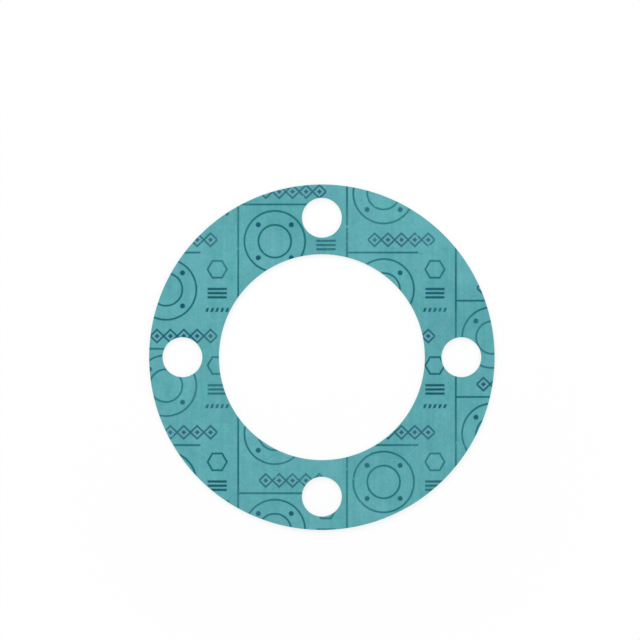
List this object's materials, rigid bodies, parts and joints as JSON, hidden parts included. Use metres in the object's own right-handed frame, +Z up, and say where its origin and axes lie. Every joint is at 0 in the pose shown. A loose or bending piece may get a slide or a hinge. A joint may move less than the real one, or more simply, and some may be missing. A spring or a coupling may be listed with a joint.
{
  "type": "flange gasket",
  "caption": "Flat full-face flange gasket: a round sheet with a large middle opening and evenly spaced bolt holes.",
  "frame": {"origin": "middle of the lower face, on the axis of the middle opening", "axes": "+Z up through the sheet's thickness and along the opening's axis, +X and +Y each through one pair of opposite bolt holes"},
  "size_m": [0.165, 0.165, 0.0016],
  "materials": {
    "fibre_sheet": "matte"
  },
  "bodies": {
    "root": {"gasket": "fibre_sheet"}
  },
  "joints": []
}
